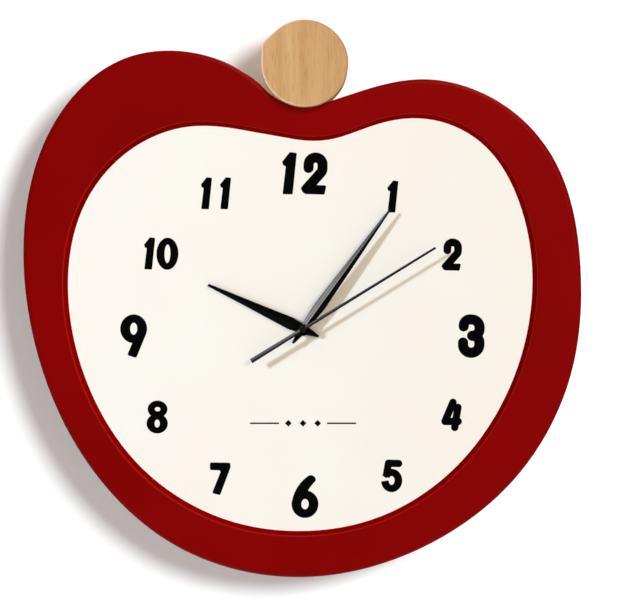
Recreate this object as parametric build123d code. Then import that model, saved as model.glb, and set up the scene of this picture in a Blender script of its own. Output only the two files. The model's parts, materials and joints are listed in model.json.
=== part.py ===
from build123d import *
import math
import os

# Apple-shaped wall clock with a battery quartz movement, in millimetres.
#
# Every piece is drawn lying on its back: X to the right of the dial, Y up the dial and
# Z away from the wall, with the hands' axis at X = Y = 0 and the wall at Z = 0.
# write() then stands it up, +Z up and the dial facing -Y, and moves the origin to the
# place where the hanger rests on the nail.

# ---------------------------------------------------------------- driving dimensions
HANGER_RISE = 88.0          # nail seat above the hands' axis
FRAME_DEPTH = 34.0          # front face of the frame above the wall
WALL = 2.5                  # thickness of the moulded frame
OUTER_ROUND = 2.5           # rounding of the outer front edge
INNER_ROUND = 1.2           # rounding of the edge round the dial
INNER_DRAFT = 1.7           # how far the wall round the dial leans out, from dial to face

DIAL_FACE = 23.0            # face of the dial above the wall
SHEET = 0.5                 # printed dial sheet
BOARD = 4.5                 # fibreboard behind the sheet
INK = 0.15                  # thickness of a printed layer
TALL_STROKE = 5.7           # width of the strokes in the tall and the low digits
LOW_STROKE = 4.3

COVER_BACK = 1.0            # back cover, set in from the wall by a screw head
COVER = 2.0
COVER_WINDOW = 72.0         # square window for the movement

DISC_CENTRE = (1.0, 143.7)  # wooden disc on the top notch
DISC_RADIUS = 23.5
DISC_BACK = 12.0
DISC_FRONT = 38.0
DISC_CORNER = 156.0         # direction of its one soft corner, in degrees

CASE_X = 28.0               # movement case
CASE_BOTTOM = -30.0
CASE_TOP = 26.0
CASE_BACK = 2.0
CASE_FRONT = DIAL_FACE - SHEET - BOARD
CASE_WALL = 1.2
CASE_FACE = 1.5             # its front wall
DIVIDER = -13.8             # lower face of the wall between battery and gears

FIT = 0.06                  # radial clearance of a turning fit
HAND_SHEET = 0.35           # sheet that the hands are pressed from
HAND_RIDGE = 1.3            # height of the ridge along the hour and minute hand

# Rest angles of the hands, clockwise from twelve.
HOUR_ANGLE = 295.0
MINUTE_ANGLE = 36.0
SECOND_ANGLE = 58.4

# Corner points of the frame, clockwise from the notch, joined by one smooth curve.
OUTER_POINTS = [
    (3, 121.5), (22, 126), (64, 135.5), (104.5, 124.5), (135.5, 93), (150.3, 35),
    (145, -25), (115, -80.6), (67.5, -116.8), (0, -134.2), (-68, -117.7), (-119.2, -68.7),
    (-146, -5), (-151, 55), (-134, 113), (-97, 146.6), (-54.3, 148.8), (-20, 129.5),
]
INNER_POINTS = [
    (0, 102.9), (18, 104.1), (41.1, 111.9), (66.2, 114.7), (96.6, 102.1), (118.2, 68.2),
    (125, 22), (112.8, -31.4), (79.2, -79), (37.8, -103.7), (0, -110), (-38.2, -105),
    (-88.9, -74.6), (-116.4, -32.3), (-128.1, 22.6), (-118.8, 68.5), (-90.3, 100.3),
    (-60.2, 110.6), (-28, 107.7),
]
GROWN_POINTS = 48           # points on a curve that runs beside another
COVER_STATIONS = [0.075, 0.19, 0.315, 0.44, 0.56, 0.685, 0.81, 0.925]
BOARD_STATIONS = [0.09, 0.26, 0.42, 0.58, 0.74, 0.91]
COVER_BOSS_IN = 5.5         # centre of a cover boss inside the outer edge
BOARD_BOSS_OUT = 6.0        # centre of a board boss outside the dial opening

# Movement arbors.
THIRD_AWAY = 11.25          # third arbor from the hands' axis
THIRD = (THIRD_AWAY * math.cos(math.radians(165)), THIRD_AWAY * math.sin(math.radians(165)))
FIFTH = (9.9 * math.cos(math.radians(60)), 9.9 * math.sin(math.radians(60)))
ROTOR = (FIFTH[0] + 7.0 * math.cos(math.radians(40)), FIFTH[1] + 7.0 * math.sin(math.radians(40)))
CENTRE_MODULE = 2 * THIRD_AWAY / (60 + 8)
SETTING = (12.0, 0.0)
PRESSURE_ANGLE = 30.0

# Levels of the train above the wall: the lower face of each wheel, all of them this thick.
WHEEL = 1.0
HOUR_LEVEL = 15.1
MOTION_LEVEL = 13.6         # cannon pinion and minute wheel
CENTRE_LEVEL = 12.2         # centre wheel and third pinion
BRIDGE_LEVEL = 10.8
THIRD_LEVEL = 9.4           # third wheel and seconds pinion
SECONDS_LEVEL = 7.6         # seconds wheel and fifth pinion
FIFTH_LEVEL = 5.8           # fifth wheel and rotor pinion
PLATE = 1.5                 # back plate of the movement
PIVOT_BACK = 3.1            # back end of the arbors
BOSS_TOP = 5.2              # front of the pivot bosses on the back plate

SECONDS_ARBOR_R = 0.6
CANNON_R = 1.6
HOUR_PIPE_R = 2.5
BUSH_R = 4.0                # threaded bush of the case, M8
BUSH_FRONT = 22.3

HOUR_BLADE = 24.7           # lower edge of each blade above the wall
MINUTE_BLADE = 27.2
SECOND_BLADE = 29.4

BATTERY_R = 7.1             # AA cell
BATTERY_Y = -21.3
BATTERY_Z = 10.0
BATTERY_X0 = -24.1
BATTERY_BODY = 49.2
BATTERY_BUTTON = 1.3
BAY_X = CASE_X - CASE_WALL
STRAP_BACK = 6.0            # contact strips on the side walls
STRAP_FRONT = 9.0
STRAP_SLOT = 0.7            # slot for a strip through the divider

COIL_Y = 20.0
COIL_Z = 9.8
STATOR_Z = 8.4
STATOR = 0.8
BOARD_Z = 4.0               # back face of the circuit board


# ---------------------------------------------------------------- helpers
def write(shape, name):
    """Stands a piece up on the wall and writes it."""
    os.makedirs("parts", exist_ok=True)
    upright = Plane(origin=(0, 0, -HANGER_RISE), x_dir=(1, 0, 0), z_dir=(0, -1, 0)).location
    export_step(shape.moved(upright), f"parts/{name}.step")


def prism(face, bottom, top):
    """Extrudes a flat shape drawn at Z = 0 from one height to another."""
    return extrude(Pos(0, 0, bottom) * face, top - bottom, dir=(0, 0, 1))


def block(x0, x1, y0, y1, z0, z1):
    return Pos((x0 + x1) / 2, (y0 + y1) / 2, (z0 + z1) / 2) * Box(x1 - x0, y1 - y0, z1 - z0)


def rod(centre, radius, bottom, top):
    return Pos(centre[0], centre[1], (bottom + top) / 2) * Cylinder(radius, top - bottom)


def tube(centre, radius, bore, bottom, top):
    return rod(centre, radius, bottom, top) - rod(centre, bore, bottom - 1, top + 1)


def polar(distance, degrees, centre=(0, 0)):
    angle = math.radians(degrees)
    return (centre[0] + distance * math.cos(angle), centre[1] + distance * math.sin(angle))


def beside(points, fraction, distance):
    """Point at a fraction of a closed clockwise curve's length, that far to its outer side."""
    curve = Spline(*points, periodic=True)
    place = curve.position_at(fraction)
    along = curve.tangent_at(fraction)
    return (place.X - along.Y * distance, place.Y + along.X * distance)


def outline(points, grow=None):
    """Face inside a smooth closed curve, grown or shrunk all round, facing the room."""
    if grow is not None:
        points = [beside(points, i / GROWN_POINTS, grow) for i in range(GROWN_POINTS)]
    return make_face(Spline(*reversed(points), periodic=True))


def screw(centre, head_back, head, head_height, shank, length):
    """Pan-head screw driven forwards, with a cross recess in its head."""
    body = rod(centre, head, head_back, head_back + head_height)
    top_edge = body.edges().sort_by(Axis.Z)[0]
    body = chamfer(top_edge, head_height * 0.4)
    body += rod(centre, shank, head_back + head_height, head_back + head_height + length)
    recess = Rectangle(head * 1.1, head * 0.25) + Rectangle(head * 0.25, head * 1.1)
    return body - Pos(*centre) * prism(recess, head_back - 1, head_back + head_height * 0.5)


def gear(teeth, module, centre, phase, bottom, top, slack=0.05):
    """Involute gear with a tooth centred on the phase angle, in degrees."""
    pitch_r = module * teeth / 2
    base_r = pitch_r * math.cos(math.radians(PRESSURE_ANGLE))
    tip_r = pitch_r + 0.8 * module
    root_r = pitch_r - 1.05 * module

    def half_angle(radius):
        """Half the angle that a tooth covers at this radius."""
        roll = math.tan(math.radians(PRESSURE_ANGLE)) - math.radians(PRESSURE_ANGLE)
        flank = math.acos(min(1.0, base_r / radius))
        return (math.pi * module / 2 - slack) / (2 * pitch_r) + roll - (math.tan(flank) - flank)

    radii = [max(root_r, base_r), pitch_r, tip_r]
    points = []
    for tooth in range(teeth):
        middle = 2 * math.pi * tooth / teeth + math.radians(phase)
        flank = [(root_r, -half_angle(radii[0]))]
        flank += [(radius, -half_angle(radius)) for radius in radii if radius > root_r]
        flank += [(radius, -turn) for radius, turn in reversed(flank)]
        points += [(r * math.cos(middle + turn), r * math.sin(middle + turn)) for r, turn in flank]
    face = make_face(Polyline(*points, close=True))
    return Pos(*centre) * prism(face, bottom, top)


def meshed(phase, teeth, next_teeth, direction):
    """Phase of a gear that meshes with the one before it, which lies opposite to direction."""
    turned = (direction - phase) * teeth / 360.0
    return direction + 180.0 - (0.5 - turned) * 360.0 / next_teeth


# ---------------------------------------------------------------- case of the clock
def front_frame():
    """Hollow moulded ring, open at the back."""
    outer = outline(OUTER_POINTS)
    at_dial = outline(INNER_POINTS, 0.0)
    beyond_face = (FRAME_DEPTH + 1 - DIAL_FACE) / (FRAME_DEPTH - DIAL_FACE)
    over_face = outline(INNER_POINTS, INNER_DRAFT * beyond_face)
    lip = outline(INNER_POINTS, WALL + INNER_DRAFT)
    cavity = outline(OUTER_POINTS, -WALL)
    shell = prism(outer, 0, FRAME_DEPTH) - prism(at_dial, -1, DIAL_FACE)
    shell -= loft([Pos(0, 0, DIAL_FACE) * at_dial, Pos(0, 0, FRAME_DEPTH + 1) * over_face], ruled=True)
    front = shell.edges().filter_by_position(Axis.Z, FRAME_DEPTH - 0.01, FRAME_DEPTH + 0.01)
    rims = front.sort_by(SortBy.LENGTH)
    shell = fillet(rims[-1], OUTER_ROUND)
    inner_rim = shell.edges().filter_by_position(Axis.Z, FRAME_DEPTH - 0.01, FRAME_DEPTH + 0.01)
    shell = fillet(inner_rim.sort_by(SortBy.LENGTH)[0], INNER_ROUND)
    shell -= prism(cavity, -1, DIAL_FACE)
    shell -= prism(cavity - lip, DIAL_FACE - 1, FRAME_DEPTH - WALL)
    under_face = FRAME_DEPTH - WALL + 0.5
    for station in COVER_STATIONS:
        centre = beside(OUTER_POINTS, station, -COVER_BOSS_IN)
        shell += rod(centre, 3.5, COVER_BACK + COVER, under_face)
    for station in BOARD_STATIONS:
        centre = beside(INNER_POINTS, station, BOARD_BOSS_OUT)
        shell += rod(centre, 3.0, DIAL_FACE - SHEET, under_face)
    seat = Pos(*DISC_CENTRE) * Circle(DISC_RADIUS - 3.3)
    ledge = seat + Pos(DISC_CENTRE[0], DISC_CENTRE[1] - 12) * Rectangle(30, 24)
    ledge &= Pos(DISC_CENTRE[0], 128) * Rectangle(60, 22)
    shell += prism(ledge - cavity, DISC_BACK - 6, DISC_BACK)
    shell -= Pos(*DISC_CENTRE) * prism(Circle(DISC_RADIUS + 0.2), DISC_BACK, DISC_FRONT + 1)
    for centre in disc_screw_places():
        shell -= rod(centre, 1.9, DISC_BACK - 7, DISC_BACK + 1)
    for station in COVER_STATIONS:
        centre = beside(OUTER_POINTS, station, -COVER_BOSS_IN)
        shell -= rod(centre, 1.45, 0, 15)
    for station in BOARD_STATIONS:
        centre = beside(INNER_POINTS, station, BOARD_BOSS_OUT)
        shell -= rod(centre, 1.25, DIAL_FACE - SHEET - 1, 30.5)
    return shell


def disc_screw_places():
    return [(-7.0, 131.5), (9.0, 131.5)]


def disc_shape():
    """Circle with one soft corner where two tangents of it meet."""
    half = 23.0
    corner = polar(DISC_RADIUS / math.cos(math.radians(half)), DISC_CORNER)
    start = polar(DISC_RADIUS, DISC_CORNER - half)
    end = polar(DISC_RADIUS, DISC_CORNER + half)
    wedge = make_face(Polyline((0, 0), start, corner, end, close=True))
    face = Circle(DISC_RADIUS) + wedge
    tip = face.vertices().sort_by_distance(corner)[0]
    return fillet(tip, 6.0)


def wood_disc():
    disc = Pos(*DISC_CENTRE) * prism(disc_shape(), DISC_BACK, DISC_FRONT)
    front = disc.edges().filter_by_position(Axis.Z, DISC_FRONT - 0.01, DISC_FRONT + 0.01)
    disc = fillet(front, 1.2)
    for centre in disc_screw_places():
        disc -= rod(centre, 1.45, DISC_BACK - 1, DISC_BACK + 9)
    return disc


def disc_screws():
    return [screw(c, DISC_BACK - 7.9, 3.0, 1.9, 1.4, 14.0) for c in disc_screw_places()]


def back_cover():
    cover = prism(outline(OUTER_POINTS, -WALL - 0.1), COVER_BACK, COVER_BACK + COVER)
    middle_y = (CASE_TOP + CASE_BOTTOM) / 2
    window = RectangleRounded(COVER_WINDOW, COVER_WINDOW, 6)
    cover -= Pos(0, middle_y) * prism(window, 0, 5)
    nail_room = Pos(0, HANGER_RISE - 4) * RectangleRounded(13, 24, 3)
    cover -= prism(nail_room, 0, 5)
    for station in COVER_STATIONS:
        cover -= rod(beside(OUTER_POINTS, station, -COVER_BOSS_IN), 1.7, 0, 5)
    for side in (-1, 1):
        cover -= rod((side * 13, HANGER_RISE - 4), 1.5, 0, 5)
    return cover


def back_cover_screws():
    places = [beside(OUTER_POINTS, s, -COVER_BOSS_IN) for s in COVER_STATIONS]
    return [screw(c, 0.1, 2.9, COVER_BACK - 0.1, 1.4, 10.0) for c in places]


def hanger_plate():
    """Steel plate with a keyhole: the nail head enters below and rests in the slot above."""
    plate = Pos(0, HANGER_RISE - 4) * RectangleRounded(36, 30, 4)
    keyhole = Pos(0, HANGER_RISE - 8) * Circle(4.5)
    keyhole += Pos(0, HANGER_RISE - 4) * Rectangle(4.6, 8)
    keyhole += Pos(0, HANGER_RISE) * Circle(2.3)
    body = prism(plate - keyhole, 0, COVER_BACK)
    for side in (-1, 1):
        body -= rod((side * 13, HANGER_RISE - 4), 1.5, -1, 2)
    return body


def hanger_rivets():
    rivets = []
    for side in (-1, 1):
        centre = (side * 13, HANGER_RISE - 4)
        cover_front = COVER_BACK + COVER
        head = rod(centre, 3.0, cover_front, cover_front + 1.2)
        head = fillet(head.edges().sort_by(Axis.Z)[-1], 0.8)
        rivets.append(head + rod(centre, 1.45, 0.05, cover_front))
    return rivets


# ---------------------------------------------------------------- dial
def dial_sheet():
    sheet = prism(outline(INNER_POINTS, WALL - 0.1), DIAL_FACE - SHEET, DIAL_FACE)
    return sheet - rod((0, 0), 3.0, 0, 40)


def dial_board():
    front = DIAL_FACE - SHEET
    board = prism(outline(INNER_POINTS, 10), front - BOARD, front)
    board -= rod((0, 0), BUSH_R + 0.2, 0, 40)
    board -= rod((0, 0), 8.5, front - 2.5, 40)
    for station in BOARD_STATIONS:
        board -= rod(beside(INNER_POINTS, station, BOARD_BOSS_OUT), 1.6, 0, 40)
    return board


def dial_board_screws():
    back = DIAL_FACE - SHEET - BOARD
    places = [beside(INNER_POINTS, s, BOARD_BOSS_OUT) for s in BOARD_STATIONS]
    return [screw(c, back - 1.8, 3.0, 1.8, 1.2, 11.5) for c in places]


def stroke(points, radii, width):
    """Pen stroke with round ends along straight runs and rounded turns."""
    path = FilletPolyline(*points, radius=radii) if radii else Line(*points)
    shape = Sketch()
    for edge in path.edges():
        shape += trace(edge, width)
        shape += Pos(*(edge @ 0)) * Circle(width / 2)
        shape += Pos(*(edge @ 1)) * Circle(width / 2)
    return shape


def ring(centre, outer, inner, hole_shift=(0, 0)):
    hole = Pos(centre[0] + hole_shift[0], centre[1] + hole_shift[1]) * Ellipse(*inner)
    return Pos(*centre) * Ellipse(*outer) - hole


def soft_polygon(points, radius):
    face = make_face(Polyline(*points, close=True))
    return fillet(face.vertices(), radius)


# Each digit stands on Y = 0 with its left edge at X = 0. The tall ones are about 23 high
# and the low ones about 17 high.
def digit_one():
    corners = [(0, 0), (5.5, 0), (7.2, 22.6), (3.4, 23), (-0.7, 17.6), (0, 15.6), (1.4, 15.3)]
    return soft_polygon(corners, 0.6)


def digit_two():
    turns = [(4.0, 14.7), (4.0, 20.6), (11.8, 20.6), (11.8, 13.2), (3.2, 3.0)]
    neck = stroke(turns, [3.85, 3.85, 3.4], TALL_STROKE)
    foot = soft_polygon([(-0.3, 3.2), (2.4, 0), (13.3, 0), (14.3, 5.2), (6.0, 5.2), (3.8, 7.0)], 0.9)
    return neck + foot


def digit_three():
    upper_turns = [(2.6, 17.0), (2.6, 20.9), (11.4, 20.9), (11.4, 12.2), (7.4, 11.9)]
    lower_turns = [(7.4, 11.9), (11.5, 11.6), (11.5, 2.5), (2.5, 2.5), (2.5, 8.0)]
    upper = stroke(upper_turns, [3.4, 4.3, 3.6], TALL_STROKE)
    return upper + stroke(lower_turns, [3.6, 4.4, 4.4], TALL_STROKE)


def digit_four():
    slant = stroke([(6.2, 16.2), (1.9, 5.2)], None, LOW_STROKE)
    bar = stroke([(1.9, 5.1), (9.5, 5.3)], None, LOW_STROKE)
    stem = stroke([(9.1, 13.4), (7.6, 1.8)], None, LOW_STROKE)
    return slant + bar + stem


def digit_five():
    bar = stroke([(3.5, 15.6), (9.0, 15.6)], None, LOW_STROKE - 0.3)
    stem = stroke([(3.4, 15.6), (2.5, 9.6)], None, LOW_STROKE - 0.3)
    bowl = ring((5.4, 6.2), (5.8, 6.4), (1.6, 2.4))
    gap = make_face(Polyline((5.0, 6.4), (-1, 5.4), (-1, 8.6), (2.6, 8.6), close=True))
    return bar + stem + (bowl - gap)


def digit_six():
    bowl = ring((7.0, 7.3), (7.3, 7.5), (2.0, 2.8))
    left = ThreePointArc((-0.3, 7.4), (2.3, 15.8), (8.4, 22.7))
    tip = ThreePointArc((8.4, 22.7), (11.4, 22.6), (12.5, 20.2))
    right = ThreePointArc((12.5, 20.2), (9.5, 16.4), (7.4, 13.0))
    foot = Line((7.4, 13.0), (2.6, 7.4)) + Line((2.6, 7.4), (-0.3, 7.4))
    return bowl + make_face(left + tip + right + foot)


def digit_seven():
    corners = [(0, 17.4), (10.9, 17.5), (11.1, 15.0), (5.9, 0), (1.5, 0.9), (6.1, 13.3), (0, 13.3)]
    return soft_polygon(corners, 0.9)


def digit_eight():
    upper = ring((5.4, 12.8), (5.3, 4.6), (1.5, 1.15))
    lower = ring((5.4, 5.1), (5.7, 5.3), (1.4, 2.1))
    return upper + lower


def digit_nine():
    bowl = ring((7.0, 15.6), (7.2, 7.7), (1.9, 3.2))
    leg = soft_polygon([(13.9, 13.4), (8.8, 0), (3.9, 1.4), (7.0, 9.4), (9.2, 14.4)], 0.9)
    return bowl + leg


def digit_zero():
    return ring((5.65, 8.5), (5.95, 8.7), (1.6, 5.0))


def placed(digit, centre, height, lean=-1.5):
    """Scales a digit to its height, leans it a little to the right and centres it."""
    digit = scale(digit, height / digit.bounding_box().size.Y)
    middle = digit.bounding_box().center()
    return Pos(*centre) * Rot(0, 0, lean) * Pos(-middle.X, -middle.Y) * digit


def numerals():
    """Printed hour numbers: 12, 3, 6 and 9 are the tall ones."""
    layout = [
        (digit_one(), (-7.6, 85.0), 23.0), (digit_two(), (6.2, 84.9), 22.8),
        (digit_one(), (48.8, 72.3), 17.4), (digit_two(), (81.1, 40.7), 17.5),
        (digit_three(), (91.8, -3.8), 23.7), (digit_four(), (81.1, -46.7), 17.7),
        (digit_five(), (48.4, -80.0), 17.7), (digit_six(), (1.2, -91.2), 23.4),
        (digit_seven(), (-45.3, -81.5), 17.6), (digit_eight(), (-79.4, -47.9), 17.9),
        (digit_nine(), (-92.4, -3.7), 23.5), (digit_one(), (-83.8, 41.3), 17.5),
        (digit_zero(), (-73.9, 41.1), 17.5), (digit_one(), (-52.8, 74.1), 17.4),
        (digit_one(), (-42.4, 74.1), 17.4),
    ]
    return [prism(placed(*entry), DIAL_FACE, DIAL_FACE + INK) for entry in layout]


def dial_print():
    """Small plain ornament under the axis: a bar on each side of three lozenges."""
    y = -51.3
    shapes = [Pos(side * 21, y) * SlotOverall(16, 0.8) for side in (-1, 1)]
    shapes += [Pos(8 * i, y) * Rot(0, 0, 45) * Rectangle(2.6, 2.6) for i in (-1, 0, 1)]
    return [prism(shape, DIAL_FACE, DIAL_FACE + INK) for shape in shapes]


# ---------------------------------------------------------------- hands
def blade(stations, ridge, bottom, eye, bush, angle):
    """Pressed blade with a raised ridge and a flat eye: stations are (distance, full width)."""
    sections = []
    for distance, width in stations:
        half = width / 2
        peak = min(ridge, half * 0.5)
        profile = [(-half, 0), (0, peak), (half, 0), (half, HAND_SHEET),
                   (0, peak + HAND_SHEET), (-half, HAND_SHEET)]
        corners = [(x, distance, bottom + z) for x, z in profile]
        sections.append(make_face(Polyline(*corners, close=True)))
    body = loft(sections, ruled=True) - rod((0, 0), eye, 0, 40)
    body += rod((0, 0), eye, bottom, bottom + HAND_SHEET)
    return Rot(0, 0, -angle) * (body - rod((0, 0), bush + 0.02, 0, 40))


def hour_hand():
    stations = [(-9.5, 1.0), (-3.0, 4.2), (7.5, 6.8), (30.0, 4.2), (57.0, 1.4)]
    return blade(stations, HAND_RIDGE, HOUR_BLADE, 3.6, 3.0, HOUR_ANGLE)


def minute_hand():
    stations = [(-9.5, 1.2), (-3.0, 3.6), (15.0, 6.2), (38.0, 4.6), (80.0, 1.2)]
    return blade(stations, HAND_RIDGE, MINUTE_BLADE, 2.9, 2.2, MINUTE_ANGLE)


def second_hand():
    stations = [(-33.0, 2.6), (-3.0, 2.1), (3.0, 1.8), (84.5, 1.2)]
    return blade(stations, 0.3, SECOND_BLADE, 1.9, 1.2, SECOND_ANGLE)


def flanged_bush(radius, hub, bore, bottom, blade_bottom, top):
    """Collet of a hand, with a shoulder under the blade and a turned lip over it."""
    bush = rod((0, 0), radius, bottom, blade_bottom)
    bush += rod((0, 0), hub, blade_bottom, top)
    return bush - rod((0, 0), bore, bottom - 1, top + 1)


def hour_hand_bush():
    return flanged_bush(3.6, 3.0, HOUR_PIPE_R, 23.8, HOUR_BLADE, 26.0)


def minute_hand_bush():
    return flanged_bush(2.9, 2.2, CANNON_R, 26.3, MINUTE_BLADE, 28.5)


def second_hand_tube():
    tube_body = rod((0, 0), 1.7, 28.8, SECOND_BLADE) + rod((0, 0), 1.2, SECOND_BLADE, 30.3)
    tube_body += rod((0, 0), 1.9, 30.3, 31.0)
    tube_body = fillet(tube_body.edges().sort_by(Axis.Z)[-1], 0.4)
    return tube_body - rod((0, 0), SECONDS_ARBOR_R, 28, 30.4)


# ---------------------------------------------------------------- movement case
def movement_housing():
    """Box with a gear chamber above and a battery bay below, open at the back."""
    case = block(-CASE_X, CASE_X, CASE_BOTTOM, CASE_TOP, CASE_BACK, CASE_FRONT)
    case = fillet(case.edges().filter_by(Axis.Z), 3)
    chamber_bottom = DIVIDER + CASE_WALL
    chamber_top = CASE_TOP - CASE_WALL
    case -= block(-BAY_X, BAY_X, chamber_bottom, chamber_top, 0, CASE_FRONT - CASE_FACE)
    case -= block(-BAY_X, BAY_X, CASE_BOTTOM + CASE_WALL, DIVIDER, 0, CASE_FRONT - 0.8)
    case -= prism(Pos(0, CASE_BOTTOM) * SlotOverall(26, 6), 0, 8)
    for side in (-1, 1):
        slot_x = side * (BAY_X - STRAP_SLOT / 2)
        case -= block(slot_x - STRAP_SLOT / 2, slot_x + STRAP_SLOT / 2, DIVIDER - 1, chamber_bottom + 1,
                      STRAP_BACK - 0.1, STRAP_FRONT + 0.1)
    case += rod((0, 0), BUSH_R, CASE_FRONT - CASE_FACE, BUSH_FRONT)
    case -= rod((0, 0), HOUR_PIPE_R + FIT, 14, BUSH_FRONT + 1)
    for post in bridge_posts():
        case += rod(post, 1.5, BRIDGE_LEVEL + WHEEL, CASE_FRONT - 1)
        case += rod(post, 0.7, BRIDGE_LEVEL - 0.6, BRIDGE_LEVEL + WHEEL)
    boss = rod(SETTING, 2.0, HOUR_LEVEL + 1.1, CASE_FRONT - 1)
    case += boss
    return case - rod(SETTING, 0.8 + FIT, 15, 17.2)


def bridge_posts():
    return [(-22.0, -9.0), (22.0, -9.0), (22.0, 12.0), (-22.0, 13.0)]


def movement_back():
    """Back plate with a pit for the setting knob and pivot bosses on the inside."""
    gap = 0.1
    plate = block(-BAY_X + gap, BAY_X - gap, DIVIDER + CASE_WALL + gap, CASE_TOP - CASE_WALL - gap,
                  CASE_BACK, CASE_BACK + PLATE)
    plate += rod(SETTING, 8.0, CASE_BACK, BOSS_TOP)
    plate -= rod(SETTING, 7.0, 0, BOSS_TOP - 1.2)
    plate -= rod(SETTING, 0.8 + FIT, 0, 10)
    for centre, arbor in pivots():
        plate += rod(centre, 1.6, CASE_BACK + 1, BOSS_TOP)
        plate -= rod(centre, arbor + FIT, PIVOT_BACK - 0.1, BOSS_TOP + 1)
    for centre in stator_posts():
        plate += rod(centre, 1.2, CASE_BACK + 1, STATOR_Z)
    for side in (-1, 1):
        plate += rod((side * 20, COIL_Y + 2), 1.5, CASE_BACK + 1, BOARD_Z)
    return plate


def pivots():
    return [((0, 0), SECONDS_ARBOR_R), (THIRD, 0.5), (FIFTH, 0.5), (ROTOR, 0.4)]


def stator_posts():
    return [(-18.0, 13.7), (17.2, ROTOR[1])]


def gear_bridge():
    """Middle plate that carries the front pivots."""
    front = BRIDGE_LEVEL + WHEEL
    shape = Pos(0, 1.5) * Rectangle(50, 25) + Pos(*ROTOR) * Circle(3)
    plate = prism(shape, BRIDGE_LEVEL, front)
    for post in bridge_posts():
        plate -= rod(post, 0.75, 0, 20)
    for centre, arbor in pivots() + [(SETTING, 0.8)]:
        plate -= rod(centre, arbor + FIT, 0, 20)
    return plate


def mounting_nut():
    nut = prism(RegularPolygon(5.5, 6, major_radius=False), 20.55, 22.4)
    return nut - rod((0, 0), BUSH_R + 0.05, 0, 40)


def mounting_washer():
    return tube((0, 0), 6.2, BUSH_R + 0.1, 20.0, 20.5)


# ---------------------------------------------------------------- wheels
def hour_wheel():
    wheel = gear(48, 0.4, (0, 0), meshed(0, 12, 48, 180), HOUR_LEVEL, HOUR_LEVEL + WHEEL)
    wheel += rod((0, 0), HOUR_PIPE_R, HOUR_LEVEL, 25.8)
    return wheel - rod((0, 0), CANNON_R + FIT, 0, 40)


def cannon_pinion():
    pinion = gear(12, 0.5, (0, 0), 0, MOTION_LEVEL, MOTION_LEVEL + WHEEL)
    pinion += rod((0, 0), CANNON_R, CENTRE_LEVEL - 0.2, 28.3)
    return pinion - rod((0, 0), SECONDS_ARBOR_R + FIT, 0, 40)


def minute_wheel():
    """Wheel driven by the cannon pinion, with the pinion that drives the hour wheel."""
    wheel = gear(36, 0.5, SETTING, meshed(0, 12, 36, 0), MOTION_LEVEL, MOTION_LEVEL + WHEEL)
    wheel += gear(12, 0.4, SETTING, 0, MOTION_LEVEL + WHEEL, HOUR_LEVEL + WHEEL)
    return wheel - rod(SETTING, 0.8, 0, 40)


def setting_stem():
    return rod(SETTING, 0.8, 1.8, 17.0)


def setting_knob():
    """Thumb knob with a scalloped rim."""
    grip = Circle(6.0) - PolarLocations(6.3, 24) * Circle(0.6)
    knob = Pos(*SETTING) * prism(grip, CASE_BACK - 0.8, CASE_BACK + 1.9)
    knob -= rod(SETTING, 4.2, 0, CASE_BACK - 0.3)
    return knob - rod(SETTING, 0.8, 1.8, 10)


def centre_wheel():
    phase = meshed(0, 8, 60, 345)
    wheel = gear(60, CENTRE_MODULE, (0, 0), phase, CENTRE_LEVEL, CENTRE_LEVEL + WHEEL)
    return wheel - rod((0, 0), CANNON_R + 0.04, 0, 40)


def third_wheel():
    wheel = gear(80, 0.25, THIRD, meshed(0, 10, 80, 165), THIRD_LEVEL, THIRD_LEVEL + WHEEL)
    wheel += gear(8, CENTRE_MODULE, THIRD, 0, CENTRE_LEVEL, CENTRE_LEVEL + WHEEL)
    return wheel + rod(THIRD, 0.5, PIVOT_BACK, CENTRE_LEVEL + WHEEL + 0.2)


def seconds_wheel():
    wheel = gear(50, 0.33, (0, 0), 0, SECONDS_LEVEL, SECONDS_LEVEL + WHEEL)
    wheel += rod((0, 0), 0.9, SECONDS_LEVEL, THIRD_LEVEL)
    wheel += gear(10, 0.25, (0, 0), 0, THIRD_LEVEL, THIRD_LEVEL + WHEEL)
    return wheel - rod((0, 0), SECONDS_ARBOR_R, 0, 40)


def seconds_arbor():
    return rod((0, 0), SECONDS_ARBOR_R, PIVOT_BACK, 30.4)


def fifth_wheel():
    wheel = gear(48, 0.25, FIFTH, 0, FIFTH_LEVEL, FIFTH_LEVEL + WHEEL)
    wheel += gear(10, 0.33, FIFTH, meshed(0, 50, 10, 60), SECONDS_LEVEL, SECONDS_LEVEL + WHEEL)
    return wheel + rod(FIFTH, 0.5, PIVOT_BACK, BRIDGE_LEVEL + WHEEL - 0.1)


def rotor_pinion():
    pinion = gear(8, 0.25, ROTOR, meshed(0, 48, 8, 40), FIFTH_LEVEL, FIFTH_LEVEL + WHEEL)
    return pinion + rod(ROTOR, 0.4, PIVOT_BACK, BRIDGE_LEVEL + WHEEL - 0.1)


def rotor_magnet():
    return tube(ROTOR, 2.6, 0.4, 7.4, 10.2)


# ---------------------------------------------------------------- motor and electronics
def stator():
    """Soft-iron plate round the rotor, with a foot under each end of the coil core."""
    shape = Pos(*ROTOR) * Circle(4.6)
    shape += Pos(-6.0, 13.7) * Rectangle(33, 3.0)
    shape += Pos(-21.0, 17.2) * Rectangle(3.6, 10)
    shape += Pos(10.3, 18.5) * Rectangle(4.4, 8)
    shape += Pos(15.2, ROTOR[1]) * Rectangle(8, 3)
    plate = prism(shape, STATOR_Z, STATOR_Z + STATOR)
    return plate - rod(ROTOR, 3.0, 0, 20)


def coil_core():
    back = STATOR_Z + STATOR
    return block(-22.6, 12.4, COIL_Y - 1.6, COIL_Y + 1.6, back, back + 1.2)


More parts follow.
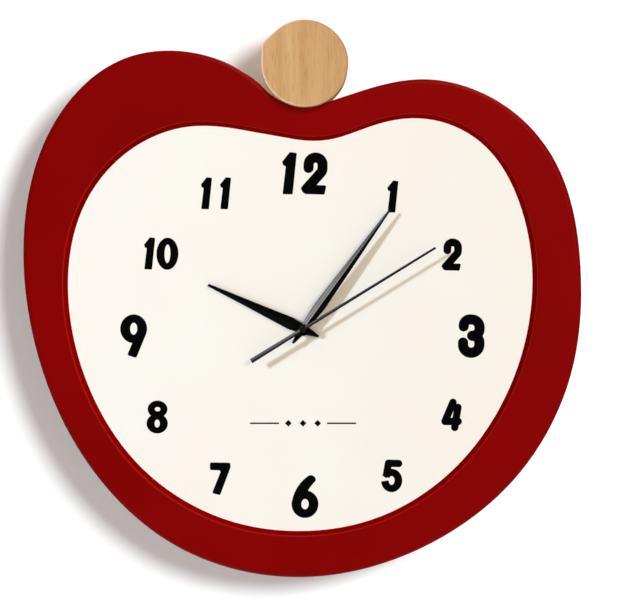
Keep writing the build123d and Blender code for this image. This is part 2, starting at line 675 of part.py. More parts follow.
def coil_bobbin():
    """Square tube with a round cheek at each end."""
    along = Rot(0, 90, 0)
    bobbin = Pos(-7.0, COIL_Y, COIL_Z) * Box(22, 5.2, 3.2)
    for x in (-18.0, 4.0):
        bobbin += Pos(x, COIL_Y, COIL_Z) * along * Cylinder(4.6, 1.0)
    return bobbin - Pos(-7.0, COIL_Y, COIL_Z) * Box(40, 3.3, 1.3)


def coil_winding():
    along = Rot(0, 90, 0)
    winding = Pos(-7.0, COIL_Y, COIL_Z) * along * Cylinder(4.1, 21.0)
    return winding - Pos(-7.0, COIL_Y, COIL_Z) * Box(40, 5.2, 3.2)


def circuit_board():
    return block(-26.2, 26.2, 17.0, 24.4, BOARD_Z, BOARD_Z + 1.0)


def chip_blob():
    blob = rod((-22.0, 20.7), 2.0, BOARD_Z + 1.0, BOARD_Z + 2.2)
    return fillet(blob.edges().sort_by(Axis.Z)[-1], 1.0)


def quartz_crystal():
    can = Pos(17.0, 22.0, BOARD_Z + 2.0) * Rot(0, 90, 0) * Cylinder(1.0, 6.2)
    can += Pos(13.6, 22.0, BOARD_Z + 2.0) * Rot(0, 90, 0) * Cylinder(1.15, 0.7)
    return can - block(10, 22, 20, 24, BOARD_Z - 1, BOARD_Z + 1.0)


# ---------------------------------------------------------------- battery and contacts
def battery():
    axis_place = Pos(BATTERY_X0 + BATTERY_BODY / 2, BATTERY_Y, BATTERY_Z) * Rot(0, 90, 0)
    cell = axis_place * Cylinder(BATTERY_R, BATTERY_BODY)
    cell = fillet(cell.edges().filter_by(GeomType.CIRCLE), 0.6)
    button_x = BATTERY_X0 + BATTERY_BODY + BATTERY_BUTTON / 2
    button = Pos(button_x, BATTERY_Y, BATTERY_Z) * Rot(0, 90, 0) * Cylinder(2.75, BATTERY_BUTTON)
    return cell + button


def contact_strap(side):
    """Flat strip on the side wall, from the battery bay to the circuit board."""
    outer = side * BAY_X
    inner = side * (BAY_X - 0.4)
    low, high = min(outer, inner), max(outer, inner)
    strap = block(low, high, BATTERY_Y - 4, BATTERY_Y + 4, 6.0, 14.0)
    strap += block(low, high, BATTERY_Y, 22.0, STRAP_BACK, STRAP_FRONT)
    strap += block(low, high, 19.0, 22.0, BOARD_Z + 1.0, STRAP_FRONT)
    tab_end = side * (BAY_X - 2.4)
    tab_low, tab_high = min(tab_end, outer), max(tab_end, outer)
    return strap + block(tab_low, tab_high, 19.0, 22.0, BOARD_Z + 1.0, BOARD_Z + 1.4)


def positive_contact():
    return contact_strap(1)


def negative_contact():
    """Strap with a coned spring that presses on the flat end of the battery."""
    wire = 0.25
    start_x = -BAY_X + 0.4 + wire - 0.05
    length = BATTERY_X0 - wire - 0.06 - start_x
    coil = Helix(pitch=length / 2, height=length, radius=3.0, cone_angle=-25)
    profile = Plane(origin=coil @ 0, z_dir=coil % 0) * Circle(wire)
    spring = sweep(profile, path=coil)
    return contact_strap(-1) + Pos(start_x, BATTERY_Y, BATTERY_Z) * Rot(0, 90, 0) * spring


# ---------------------------------------------------------------- write every piece
PIECES = [
    front_frame, wood_disc, disc_screws, back_cover, back_cover_screws, hanger_plate,
    hanger_rivets, dial_sheet, dial_board, dial_board_screws, numerals, dial_print,
    hour_hand, minute_hand, second_hand, hour_hand_bush, minute_hand_bush,
    second_hand_tube, movement_housing, movement_back, gear_bridge, mounting_nut,
    mounting_washer, hour_wheel, cannon_pinion, minute_wheel, setting_stem, setting_knob,
    centre_wheel, third_wheel, seconds_wheel, seconds_arbor, fifth_wheel, rotor_pinion,
    rotor_magnet, stator, coil_core, coil_bobbin, coil_winding, circuit_board, chip_blob,
    quartz_crystal, battery, positive_contact, negative_contact,
]

for piece in PIECES:
    made = piece()
    if isinstance(made, list):
        made = Compound(children=made)
    write(made, piece.__name__)
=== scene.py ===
"""Looks, stage, light and camera for the apple-shaped wall clock. Metres, +Z up, dial facing -Y."""
import json
import math

import bmesh
import bpy
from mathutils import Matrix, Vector


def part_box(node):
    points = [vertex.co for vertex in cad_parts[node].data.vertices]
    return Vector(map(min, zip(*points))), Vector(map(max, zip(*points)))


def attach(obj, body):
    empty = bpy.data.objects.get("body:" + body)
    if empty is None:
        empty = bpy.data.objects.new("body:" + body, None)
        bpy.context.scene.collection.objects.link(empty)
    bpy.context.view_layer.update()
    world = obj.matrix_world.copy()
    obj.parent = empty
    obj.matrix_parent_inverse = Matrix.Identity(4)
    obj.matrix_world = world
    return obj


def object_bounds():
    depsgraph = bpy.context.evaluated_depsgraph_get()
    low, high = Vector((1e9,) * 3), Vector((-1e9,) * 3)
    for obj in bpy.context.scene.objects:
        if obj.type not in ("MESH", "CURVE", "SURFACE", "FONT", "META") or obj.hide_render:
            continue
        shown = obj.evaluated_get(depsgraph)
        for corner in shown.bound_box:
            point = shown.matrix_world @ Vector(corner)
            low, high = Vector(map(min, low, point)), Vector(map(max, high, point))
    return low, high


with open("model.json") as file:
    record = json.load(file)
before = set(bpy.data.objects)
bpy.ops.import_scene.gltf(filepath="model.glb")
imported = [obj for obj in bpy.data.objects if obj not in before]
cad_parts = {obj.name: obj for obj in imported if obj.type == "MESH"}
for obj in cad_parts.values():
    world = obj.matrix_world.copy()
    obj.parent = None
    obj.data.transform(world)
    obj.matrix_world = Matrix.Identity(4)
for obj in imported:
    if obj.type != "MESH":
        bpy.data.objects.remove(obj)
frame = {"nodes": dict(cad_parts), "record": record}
cad_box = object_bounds()
nodes = frame["nodes"]

# ---------------------------------------------------------------- places read from the frame
FACE_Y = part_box("front_frame")[0].y       # front face of the red frame
WALL_Y = 0.0                              # plane of the wall
arbor_low, arbor_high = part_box("seconds_arbor")
AXIS_X = (arbor_low.x + arbor_high.x) / 2
AXIS_Z = (arbor_low.z + arbor_high.z) / 2


# ---------------------------------------------------------------- material tools
class Recipe:
    """A material's node tree, with short calls for what the materials below have in common."""

    def __init__(self, name, color, roughness, metallic=0.0):
        self.material = bpy.data.materials.new(name)
        self.material.use_nodes = True
        self.tree = self.material.node_tree
        self.shader = self.tree.nodes["Principled BSDF"]
        self.shader.inputs["Base Color"].default_value = (*color, 1.0)
        self.shader.inputs["Roughness"].default_value = roughness
        self.shader.inputs["Metallic"].default_value = metallic
        self.coordinates = self.tree.nodes.new("ShaderNodeTexCoord")
        self.last_normal = None

    def node(self, kind, **settings):
        made = self.tree.nodes.new(kind)
        for key, value in settings.items():
            setattr(made, key, value)
        return made

    def link(self, output, target):
        self.tree.links.new(output, target)

    def place(self, stretch=(1, 1, 1), turn=(0, 0, 0)):
        """Object coordinates, stretched so that a texture's scale is in features per metre."""
        turned = self.node("ShaderNodeMapping")
        turned.inputs["Rotation"].default_value = turn
        self.link(self.coordinates.outputs["Object"], turned.inputs["Vector"])
        stretched = self.node("ShaderNodeMapping")
        stretched.inputs["Scale"].default_value = stretch
        self.link(turned.outputs["Vector"], stretched.inputs["Vector"])
        return stretched.outputs["Vector"]

    def noise(self, scale, detail=2.0, stretch=(1, 1, 1), turn=(0, 0, 0), distortion=0.0, rough=0.5):
        texture = self.node("ShaderNodeTexNoise")
        texture.inputs["Scale"].default_value = scale
        texture.inputs["Detail"].default_value = detail
        texture.inputs["Roughness"].default_value = rough
        texture.inputs["Distortion"].default_value = distortion
        self.link(self.place(stretch, turn), texture.inputs["Vector"])
        return texture.outputs["Fac"]

    def ramp(self, value, stops, stepped=False):
        """Colour ramp of (position, colour) or (position, grey) stops, with sharp borders if stepped."""
        ramp = self.node("ShaderNodeValToRGB")
        if stepped:
            ramp.color_ramp.interpolation = "CONSTANT"
        elements = ramp.color_ramp.elements
        while len(elements) < len(stops):
            elements.new(0.5)
        for element, (position, color) in zip(elements, stops):
            element.position = position
            element.color = (*color, 1.0) if isinstance(color, tuple) else (color, color, color, 1.0)
        self.link(value, ramp.inputs["Fac"])
        return ramp.outputs["Color"]

    def spread(self, value, low, high, from_low=0.3, from_high=0.7):
        """Maps a texture's usual range to low..high."""
        mapped = self.node("ShaderNodeMapRange")
        mapped.inputs["From Min"].default_value = from_low
        mapped.inputs["From Max"].default_value = from_high
        mapped.inputs["To Min"].default_value = low
        mapped.inputs["To Max"].default_value = high
        self.link(value, mapped.inputs["Value"])
        return mapped.outputs["Result"]

    def mix(self, factor, first, second, mode="MIX"):
        """Mixes two colours; each is a socket or an (r, g, b)."""
        mixer = self.node("ShaderNodeMix", data_type="RGBA", blend_type=mode)
        sockets = [s for s in mixer.inputs if s.type == "RGBA"]
        factors = [s for s in mixer.inputs if s.type == "VALUE"]
        for value, socket in ((factor, factors[0]), (first, sockets[0]), (second, sockets[1])):
            if isinstance(value, tuple):
                socket.default_value = (*value, 1.0)
            elif isinstance(value, float):
                socket.default_value = value
            else:
                self.link(value, socket)
        return [s for s in mixer.outputs if s.type == "RGBA"][0]

    def math(self, operation, first, second=0.0):
        made = self.node("ShaderNodeMath", operation=operation)
        for value, socket in ((first, made.inputs[0]), (second, made.inputs[1])):
            if isinstance(value, float):
                socket.default_value = value
            else:
                self.link(value, socket)
        return made.outputs["Value"]

    def bump(self, height, depth, strength=1.0):
        """Adds relief of that depth, in metres, on top of what is already there."""
        made = self.node("ShaderNodeBump")
        made.inputs["Strength"].default_value = strength
        made.inputs["Distance"].default_value = depth
        self.link(height, made.inputs["Height"])
        if self.last_normal is not None:
            self.link(self.last_normal, made.inputs["Normal"])
        self.last_normal = made.outputs["Normal"]
        self.link(self.last_normal, self.shader.inputs["Normal"])

    def color(self, value):
        self.link(value, self.shader.inputs["Base Color"])

    def roughness(self, value):
        self.link(value, self.shader.inputs["Roughness"])

    def edges(self):
        """1 on rounded edges that face between the front or back and a side, 0 on flat faces."""
        geometry = self.node("ShaderNodeNewGeometry")
        split = self.node("ShaderNodeSeparateXYZ")
        self.link(geometry.outputs["Normal"], split.inputs["Vector"])
        facing = self.math("ABSOLUTE", split.outputs["Y"])
        rise = self.spread(facing, 0.0, 1.0, 0.15, 0.5)
        fall = self.spread(facing, 1.0, 0.0, 0.75, 0.97)
        return self.math("MULTIPLY", rise, fall)

    def away_from_axis(self):
        """0 on walls that face the hands' axis, 1 everywhere else."""
        geometry = self.node("ShaderNodeNewGeometry")
        arm = self.node("ShaderNodeVectorMath", operation="SUBTRACT")
        self.link(self.coordinates.outputs["Object"], arm.inputs[0])
        arm.inputs[1].default_value = (AXIS_X, FACE_Y, AXIS_Z)
        outward = self.node("ShaderNodeVectorMath", operation="DOT_PRODUCT")
        self.link(arm.outputs["Vector"], outward.inputs[0])
        self.link(geometry.outputs["Normal"], outward.inputs[1])
        return self.spread(outward.outputs["Value"], 0.0, 1.0, -0.075, -0.025)


# ---------------------------------------------------------------- materials
def red_plastic():
    """Deep red moulded ABS with a fine spark-eroded grain and slightly polished edges, paler where worn and
    with painted highlights on the rounded edges, brightest round the dial.
    """
    recipe = Recipe("red_moulded_abs", (0.26, 0.0, 0.001), 0.42)
    cloud = recipe.noise(14, 3)
    tone = recipe.mix(recipe.spread(cloud, 0.0, 1.0), (0.225, 0.0, 0.0), (0.26, 0.0, 0.0))
    patches = recipe.spread(recipe.noise(160, 4), 0.0, 0.5, 0.45, 0.75)
    # Patchy paler tint on the rounded edges: partly wear, partly a painted highlight where the fillets
    # catch the light.
    wear_and_painted_highlight = recipe.math("MULTIPLY", recipe.edges(), patches)
    tone = recipe.mix(wear_and_painted_highlight, tone, (0.285, 0.002, 0.002))
    # Painted highlight: the rounded inner edge round the dial is painted a paler pink-red, where light
    # would catch it.
    towards_axis = recipe.spread(recipe.away_from_axis(), 0.85, 0.0, 0.0, 0.9)
    painted_inner_rim_highlight = recipe.math("MULTIPLY", recipe.edges(), towards_axis)
    recipe.color(recipe.mix(painted_inner_rim_highlight, tone, (0.36, 0.014, 0.013)))
    satin = recipe.spread(recipe.noise(60, 4), 0.38, 0.48)
    recipe.roughness(recipe.math("SUBTRACT", satin, recipe.math("MULTIPLY", recipe.edges(), 0.12)))
    recipe.bump(recipe.noise(2600, 2), 0.000012)
    recipe.bump(recipe.noise(35, 1), 0.00008)
    # The wall round the dial stays dark: it would otherwise mirror the dial at this flat angle.
    shine = recipe.math("MULTIPLY", recipe.away_from_axis(), 0.045)
    recipe.link(shine, recipe.shader.inputs["Specular IOR Level"])
    return recipe.material


def beech():
    """Light beech, grain running up the disc, with short darker flecks and a painted highlight on its
    rounded rim.
    """
    recipe = Recipe("beech_wood", (0.62, 0.38, 0.18), 0.5)
    bands = recipe.noise(260, 3, stretch=(1.0, 1.0, 0.035), distortion=0.4)
    broad = recipe.noise(60, 2, stretch=(1.0, 1.0, 0.12), distortion=0.8)
    fine = recipe.noise(1500, 2, stretch=(1.0, 1.0, 0.05))
    late, middle, early = (0.56, 0.285, 0.108), (0.66, 0.355, 0.148), (0.735, 0.42, 0.195)
    base = recipe.ramp(bands, [(0.3, late), (0.5, middle), (0.72, early)])
    base = recipe.mix(recipe.spread(broad, 0.0, 0.7), base, (0.58, 0.275, 0.095))
    fleck = recipe.ramp(recipe.noise(900, 1, stretch=(1.0, 1.0, 0.12)), [(0.58, 0.0), (0.68, 1.0)])
    base = recipe.mix(recipe.math("MULTIPLY", fleck, 0.4), base, (0.42, 0.18, 0.055))
    base = recipe.mix(recipe.spread(fine, 0.0, 0.2), base, (0.80, 0.50, 0.26))
    # Painted highlight: the rounded edges are painted paler, as if catching the light.
    recipe.color(recipe.mix(recipe.math("MULTIPLY", recipe.edges(), 0.6), base, (0.86, 0.62, 0.38)))
    recipe.roughness(recipe.spread(bands, 0.42, 0.58))
    recipe.bump(fine, 0.00002)
    recipe.bump(bands, 0.00003)
    return recipe.material


def dial_paper():
    """Matt coated cream paper with a barely visible mottle."""
    recipe = Recipe("cream_dial_paper", (0.93, 0.89, 0.80), 0.75)
    mottle = recipe.noise(22, 2)
    fibres = recipe.noise(900, 3, stretch=(1.0, 1.0, 0.3))
    tone = recipe.mix(recipe.spread(mottle, 0.0, 1.0), (0.95, 0.868, 0.775), (0.955, 0.848, 0.76))
    recipe.color(recipe.mix(recipe.spread(fibres, 0.0, 0.08), tone, (0.86, 0.82, 0.73)))
    recipe.bump(fibres, 0.00001)
    return recipe.material


def ink():
    """Dense matt black screen ink, barely uneven."""
    recipe = Recipe("black_screen_ink", (0.003, 0.003, 0.003), 0.55)
    density = recipe.spread(recipe.noise(700, 3), 0.0, 1.0)
    recipe.color(recipe.mix(density, (0.0004, 0.0004, 0.0004), (0.002, 0.002, 0.002)))
    recipe.roughness(recipe.spread(recipe.noise(350, 2), 0.5, 0.68))
    recipe.shader.inputs["Specular IOR Level"].default_value = 0.02
    recipe.bump(recipe.noise(1800, 2), 0.000008)
    return recipe.material


def enamel(name, color, roughness, direction):
    """Thin baked enamel on pressed sheet, brushed along the hand.

    The direction is the hand's own at rest, in degrees clockwise from twelve.
    """
    recipe = Recipe(name, color, roughness)
    brushed = recipe.noise(900, 2, stretch=(1.0, 1.0, 0.006), turn=(0, -math.radians(direction), 0))
    lighter = tuple(min(1.0, c * 2.4 + 0.001) for c in color)
    recipe.color(recipe.mix(recipe.spread(brushed, 0.0, 0.6), color, lighter))
    recipe.roughness(recipe.spread(brushed, roughness - 0.06, roughness + 0.08))
    recipe.shader.inputs["Specular IOR Level"].default_value = 0.05
    recipe.bump(brushed, 0.00003)
    return recipe.material


def metal(name, color, roughness, stretch=(1.0, 1.0, 0.05), depth=0.000006):
    """Brushed or rolled metal with a fine directional grain and faint stains."""
    recipe = Recipe(name, color, roughness, 1.0)
    lines = recipe.noise(3000, 2, stretch=stretch)
    stains = recipe.noise(120, 3)
    darker = tuple(c * 0.78 for c in color)
    recipe.color(recipe.mix(recipe.spread(stains, 0.0, 0.7), color, darker))
    recipe.roughness(recipe.spread(lines, roughness - 0.07, roughness + 0.1))
    recipe.bump(lines, depth)
    return recipe.material


def plastic(name, color, roughness, grain=1800, depth=0.00002):
    """Moulded plastic: fine eroded grain, faint flow clouds, scuffs on the edges."""
    recipe = Recipe(name, color, roughness)
    cloud = recipe.noise(40, 3)
    lighter = tuple(min(1.0, c * 1.25 + 0.003) for c in color)
    tone = recipe.mix(recipe.spread(cloud, 0.0, 1.0), color, lighter)
    scuff = recipe.math("MULTIPLY", recipe.edges(), recipe.spread(recipe.noise(500, 3), 0.0, 0.5, 0.5, 0.8))
    scuffed = tuple(min(1.0, c * 1.8 + 0.02) for c in color)
    recipe.color(recipe.mix(scuff, tone, scuffed))
    recipe.roughness(recipe.spread(recipe.noise(220, 3), roughness - 0.06, roughness + 0.08))
    recipe.bump(recipe.noise(grain, 2), depth)
    return recipe.material


def fibreboard():
    """Raw brown board of pressed fibres, with dark specks."""
    recipe = Recipe("raw_fibreboard", (0.36, 0.24, 0.14), 0.85)
    fibres = recipe.noise(1200, 4, stretch=(1.0, 1.0, 0.4), distortion=1.0)
    specks = recipe.ramp(recipe.noise(700, 2), [(0.60, 0.0), (0.68, 1.0)])
    tone = recipe.mix(recipe.spread(fibres, 0.0, 1.0), (0.27, 0.17, 0.095), (0.45, 0.31, 0.19))
    recipe.color(recipe.mix(recipe.math("MULTIPLY", specks, 0.5), tone, (0.16, 0.09, 0.045)))
    recipe.bump(fibres, 0.00006)
    return recipe.material


def battery_sleeve():
    """Printed film: gold band round the positive end, dark body with a thin light ring, bare steel ends."""
    recipe = Recipe("battery_sleeve_film", (0.02, 0.024, 0.03), 0.22)
    split = recipe.node("ShaderNodeSeparateXYZ")
    recipe.link(recipe.coordinates.outputs["Object"], split.inputs["Vector"])
    low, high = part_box("battery")
    along = recipe.spread(split.outputs["X"], 0.0, 1.0, low.x, high.x)
    steel = (0.45, 0.45, 0.46)
    dark = (0.012, 0.016, 0.022)
    pale = (0.75, 0.74, 0.70)
    gold = (0.62, 0.30, 0.06)
    stops = [(0.0, steel), (0.02, dark), (0.62, pale), (0.635, dark), (0.66, gold), (0.955, steel)]
    bands = recipe.ramp(along, stops, stepped=True)
    recipe.color(recipe.mix(recipe.spread(recipe.noise(300, 3), 0.0, 0.15), bands, (0.2, 0.2, 0.2)))
    metallic = recipe.ramp(along, [(0.0, 1.0), (0.02, 0.0), (0.66, 0.8), (0.955, 1.0)], stepped=True)
    recipe.link(metallic, recipe.shader.inputs["Metallic"])
    recipe.roughness(recipe.spread(recipe.noise(90, 2), 0.2, 0.34))
    recipe.bump(recipe.noise(500, 2), 0.000006)
    return recipe.material


def wound_wire():
    """Enamelled wire, with fine ridges for the turns round the coil's core, and painted shade darkening the
    grooves between turns.
    """
    recipe = Recipe("enamelled_copper_wire", (0.55, 0.19, 0.07), 0.28, 1.0)
    low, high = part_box("coil_winding")
    across = "X" if high.x - low.x > high.z - low.z else "Z"
    turns = recipe.node("ShaderNodeTexWave", bands_direction=across)
    turns.inputs["Scale"].default_value = 1600
    turns.inputs["Distortion"].default_value = 1.0
    recipe.link(recipe.place(), turns.inputs["Vector"])
    # Painted shade in the grooves between turns and painted highlight on their crests: the colour follows
    # the ridges' height.
    recipe.color(recipe.mix(turns.outputs["Fac"], (0.30, 0.09, 0.03), (0.62, 0.23, 0.09)))
    recipe.roughness(recipe.spread(recipe.noise(400, 2), 0.24, 0.36))
    recipe.bump(turns.outputs["Fac"], 0.00006)
    return recipe.material


MATERIALS = {
    "red_shell": red_plastic(),
    "beech": beech(),
    "dial_paper": dial_paper(),
    "ink": ink(),
    "fibreboard": fibreboard(),
    "cover_black": plastic("cover_black_plastic", (0.030, 0.030, 0.032), 0.5, 1400, 0.00004),
    "steel": metal("zinc_plated_steel", (0.60, 0.60, 0.61), 0.32),
    "hand_black": enamel("black_hand_enamel", (0.0008, 0.0008, 0.0008), 0.3, 36),
    "hand_grey": enamel("dark_grey_hand_enamel", (0.006, 0.0055, 0.006), 0.32, 58),
    "case_plastic": plastic("movement_case_plastic", (0.040, 0.040, 0.043), 0.4),
    "brass": metal("turned_brass", (0.72, 0.48, 0.17), 0.25),
    "gear_white": plastic("white_acetal", (0.82, 0.80, 0.73), 0.35, 2500, 0.00001),
    "copper_wire": wound_wire(),
    "magnet": metal("sintered_magnet", (0.11, 0.11, 0.115), 0.5, (1.0, 1.0, 1.0)),
    "soft_iron": metal("stamped_soft_iron", (0.42, 0.42, 0.44), 0.38),
    "circuit_green": plastic("green_solder_mask", (0.01, 0.10, 0.035), 0.3, 900, 0.00001),
    "epoxy_black": plastic("black_epoxy", (0.006, 0.006, 0.007), 0.2, 600, 0.00001),
    "battery_sleeve": battery_sleeve(),
}

slot_of = {part["node"]: part["material_slot"] for part in frame["record"]["subparts"]}
for name, cad_object in nodes.items():
    cad_object.data.materials.clear()
    cad_object.data.materials.append(MATERIALS[slot_of[name]])


# ---------------------------------------------------------------- marks on the movement's back
MARK_HEIGHT = 0.0003        # above the face that carries it
MARK_ROOT = 0.0001          # below that face
MARK_BEVEL = 0.00006
BAR_LENGTH = 0.0042         # of the plus and the minus
BAR_WIDTH = 0.0009
BAR_FROM_SIDE = 0.006       # middle of the plus and the minus, from the case's sides
BAR_FROM_BELOW = 0.0035     # and above the battery bay
LINE_HALF = 0.0003          # half the width of an arrow's line
HEAD_HALF = 0.001           # half the width of its head
HEAD_LENGTH = 0.0016
ARROW_CLEAR = 0.0028        # arrows outside the knob's edge


def raised_mark(name, outlines, back_y):
    """White marks on a face that looks at the wall; each outline is a list of (x, z)."""
    mesh = bpy.data.meshes.new(name)
    shape = bmesh.new()
    for outline in outlines:
        face = shape.faces.new([shape.verts.new((x, back_y - MARK_ROOT, z)) for x, z in outline])
        grown = bmesh.ops.extrude_face_region(shape, geom=[face])
        top = [item for item in grown["geom"] if isinstance(item, bmesh.types.BMVert)]
        bmesh.ops.translate(shape, verts=top, vec=(0, MARK_HEIGHT + MARK_ROOT, 0))
    bmesh.ops.recalc_face_normals(shape, faces=shape.faces)
    bmesh.ops.bevel(shape, geom=list(shape.edges), offset=MARK_BEVEL, segments=2, affect="EDGES")
    shape.to_mesh(mesh)
    shape.free()
    mark = bpy.data.objects.new(name, mesh)
    bpy.context.scene.collection.objects.link(mark)
    mesh.materials.append(MATERIALS["gear_white"])
    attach(mark, "clock_case")


def bar(x, z, width, height):
    """Outline of a bar round that middle."""
    return [(x - width / 2, z - height / 2), (x + width / 2, z - height / 2),
            (x + width / 2, z + height / 2), (x - width / 2, z + height / 2)]


def curved_arrow(x, z, radius, start, end):
    """Outlines of a curved line from start to end, in degrees, and of the pointed head at its end."""

    def polar(distance, angle):
        return x + distance * math.cos(angle), z + distance * math.sin(angle)

    steps = 12
    angles = [math.radians(start + (end - start) * i / steps) for i in range(steps + 1)]
    inner = [polar(radius - LINE_HALF, angle) for angle in angles]
    outer = [polar(radius + LINE_HALF, angle) for angle in angles]
    tip = polar(radius, angles[-1] + HEAD_LENGTH / radius)
    head = [polar(radius - HEAD_HALF, angles[-1]), tip, polar(radius + HEAD_HALF, angles[-1])]
    return [inner + list(reversed(outer)), head]


case_low, case_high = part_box("movement_back")
knob_low, knob_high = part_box("setting_knob")
knob_x = (knob_low.x + knob_high.x) / 2
knob_z = (knob_low.z + knob_high.z) / 2
mark_z = case_low.z + BAR_FROM_BELOW
plus_x = case_high.x - BAR_FROM_SIDE
minus_x = case_low.x + BAR_FROM_SIDE
plus = [bar(plus_x, mark_z, BAR_LENGTH, BAR_WIDTH), bar(plus_x, mark_z, BAR_WIDTH, BAR_LENGTH)]
raised_mark("plus_mark", plus, case_high.y)
raised_mark("minus_mark", [bar(minus_x, mark_z, BAR_LENGTH, BAR_WIDTH)], case_high.y)
knob_reach = (knob_high.x - knob_low.x) / 2 + ARROW_CLEAR
raised_mark("turn_arrow_up", curved_arrow(knob_x, knob_z, knob_reach, 35, 145), case_high.y)
raised_mark("turn_arrow_down", curved_arrow(knob_x, knob_z, knob_reach, 215, 325), case_high.y)


# ---------------------------------------------------------------- stage
WALL_GAP = 0.0004           # wall behind the clock's back
WALL_REACH = 3.0            # wall and floor from their middles
FLOOR_REACH = 4.0
FLOOR_DROP = 0.9            # floor below the clock


def stage_plane(name, corners, color, one_sided=False):
    """Plain pale surface. One-sided: seen only on the side its normal points to."""
    mesh = bpy.data.meshes.new(name)
    mesh.from_pydata(corners, [], [(0, 1, 2, 3)])
    plane = bpy.data.objects.new(name, mesh)
    bpy.context.scene.collection.objects.link(plane)
    recipe = Recipe(name, color, 0.9)
    recipe.shader.inputs["Specular IOR Level"].default_value = 0.1
    if one_sided:
        geometry = recipe.node("ShaderNodeNewGeometry")
        clear = recipe.node("ShaderNodeBsdfTransparent")
        switch = recipe.node("ShaderNodeMixShader")
        recipe.link(geometry.outputs["Backfacing"], switch.inputs["Fac"])
        recipe.link(recipe.shader.outputs["BSDF"], switch.inputs[1])
        recipe.link(clear.outputs["BSDF"], switch.inputs[2])
        recipe.link(switch.outputs["Shader"], recipe.tree.nodes["Material Output"].inputs["Surface"])
    mesh.materials.append(recipe.material)
    return plane


def square(reach):
    """Corners of a square round zero, in the order that turns its normal out of the page."""
    return [(-reach, -reach), (reach, -reach), (reach, reach), (-reach, reach)]


wall_corners = [(x, WALL_Y + WALL_GAP, z) for x, z in square(WALL_REACH)]
wall = stage_plane("backdrop_wall", wall_corners, (0.97, 0.97, 0.97), one_sided=True)
# Only the camera sees the wall, so that light reaches the back of the clock in a view from behind.
wall.visible_diffuse = False
wall.visible_glossy = False
wall.visible_shadow = False
floor_corners = [(x, y, cad_box[0][2] - FLOOR_DROP) for x, y in square(FLOOR_REACH)]
stage_plane("pale_floor", floor_corners, (0.86, 0.86, 0.86))


# ---------------------------------------------------------------- light
CENTRE = Vector((AXIS_X, FACE_Y, AXIS_Z + 0.016))   # where every light aims


def area_light(name, position, size, power, color=(1, 1, 1)):
    """Disc light at that place from CENTRE, aimed at it."""
    data = bpy.data.lights.new(name, "AREA")
    data.shape = "DISK"
    data.size = size
    data.energy = power
    data.color = color
    light = bpy.data.objects.new(name, data)
    bpy.context.scene.collection.objects.link(light)
    light.location = CENTRE + position
    light.rotation_euler = (-position).to_track_quat("-Z", "Y").to_euler()
    return light


def from_direction(off_axis, azimuth, distance):
    """Place that many degrees off the dial's normal, on the side the azimuth says: 0 right, 90 up."""
    tilt = math.radians(off_axis)
    turn = math.radians(azimuth)
    right = math.sin(tilt) * math.cos(turn)
    up = math.sin(tilt) * math.sin(turn)
    return Vector((right, -math.cos(tilt), up)) * distance


def light_only(light, objects):
    """The light reaches these objects and no others."""
    group = bpy.data.collections.new(light.name + "_receivers")
    for lit in objects:
        group.objects.link(lit)
    light.light_linking.receiver_collection = group


def keep_off(light, objects):
    """The light reaches everything but these objects."""
    light_only(light, objects)
    for entry in light.light_linking.receiver_collection.collection_objects:
        entry.light_linking.link_state = "EXCLUDE"


def shadows_only_from(light, objects):
    """Only these objects stop this light."""
    group = bpy.data.collections.new(light.name + "_blockers")
    for blocking in objects:
        group.objects.link(blocking)
    light.light_linking.blocker_collection = group


# The red frame tints neither the dial nor the wall by its own bounced light.
nodes["front_frame"].visible_diffuse = False

world = bpy.data.worlds.new("studio")
bpy.context.scene.world = world
world.use_nodes = True
world.node_tree.nodes["Background"].inputs["Color"].default_value = (1, 0.955, 0.925, 1)
world.node_tree.nodes["Background"].inputs["Strength"].default_value = 0.255

HANDS = [nodes[name] for name in ("hour_hand", "minute_hand", "second_hand", "hour_hand_bush",
                                  "minute_hand_bush", "second_hand_tube")]

# The wall's own light: a key that throws the clock's shadow down to the left, and a warm fill in it.
wall_key = area_light("wall_key", from_direction(33, 29, 3.0), 1.05, 85, (0.96, 1.0, 1.03))
light_only(wall_key, [wall])
wall_fill = area_light("wall_fill", from_direction(13, 80, 2.3), 1.6, 4.5, (1.0, 0.25, 0.02))
light_only(wall_fill, [wall])

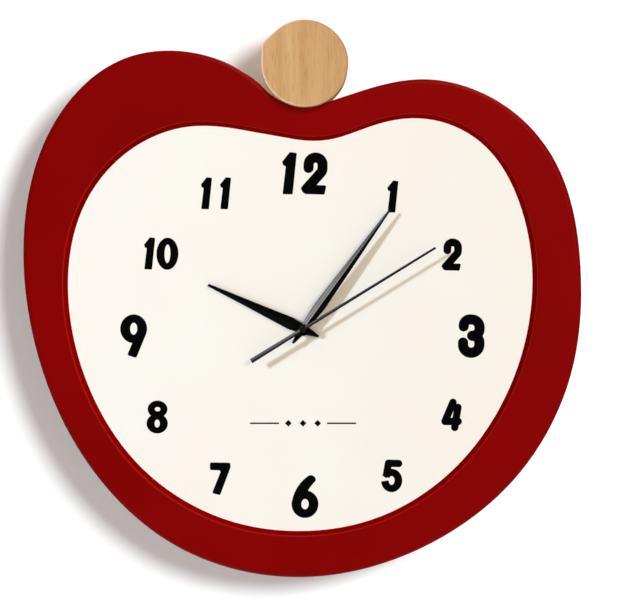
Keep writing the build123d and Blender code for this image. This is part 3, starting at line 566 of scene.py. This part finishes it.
# The clock's lights. Only the hands, or the disc, stop its keys, so the rim throws no shadow on the dial.
clock_key = area_light("clock_key", from_direction(33, 29, 3.0), 0.5, 20.0, (1.0, 0.81, 0.42))
keep_off(clock_key, [wall])
shadows_only_from(clock_key, HANDS + [nodes["wood_disc"]])
side = area_light("side_left", from_direction(55, 162, 3.6), 0.34, 119, (0.65, 0.83, 1.0))
keep_off(side, [wall, nodes["front_frame"]])
shadows_only_from(side, HANDS)
frame_key = area_light("frame_key", from_direction(50, 66, 3.0), 0.9, 46, (1.0, 0.9, 0.85))
light_only(frame_key, [nodes["front_frame"]])
shadows_only_from(frame_key, [nodes["wood_disc"]])
front = area_light("front_fill", from_direction(13, 80, 2.3), 1.6, 3.0, (1.0, 0.82, 0.70))
front.visible_glossy = False
keep_off(front, [wall])

# Small lights that show the ridges of the hands.
glint = area_light("hand_glint", from_direction(48, 146, 1.8), 0.45, 90.0, (1.0, 0.96, 0.91))
light_only(glint, [nodes["minute_hand"], nodes["minute_hand_bush"]])
tail_glint = area_light("tail_glint", from_direction(27, 122, 1.8), 0.3, 60.0, (1.0, 0.97, 0.93))
light_only(tail_glint, [nodes["second_hand"], nodes["second_hand_tube"]])

# For views from behind.
rear_key = area_light("rear_key", from_direction(135, 60, 2.0), 0.7, 34)
keep_off(rear_key, [wall])
rear_fill = area_light("rear_fill", from_direction(150, 195, 2.2), 1.2, 16, (0.95, 0.97, 1.0))
keep_off(rear_fill, [wall])


# ---------------------------------------------------------------- camera
CAMERA_DISTANCE = 1.30      # lens to the frame's front face
FRAME_WIDTH = 0.3373        # width of the picture at the frame's front face
PICTURE_SHIFT_X = 0.0049    # middle of the picture, from the hands' axis
PICTURE_SHIFT_Z = 0.0159
SENSOR = 36.0
camera_data = bpy.data.cameras.new("camera")
camera_data.sensor_width = SENSOR
camera_data.lens = SENSOR * CAMERA_DISTANCE / FRAME_WIDTH
camera_data.dof.use_dof = False
camera = bpy.data.objects.new("camera", camera_data)
bpy.context.scene.collection.objects.link(camera)
camera.location = (AXIS_X + PICTURE_SHIFT_X, FACE_Y - CAMERA_DISTANCE, AXIS_Z + PICTURE_SHIFT_Z)
camera.rotation_euler = (math.radians(90), 0, 0)
bpy.context.scene.camera = camera
bpy.context.scene.view_settings.view_transform = "Standard"
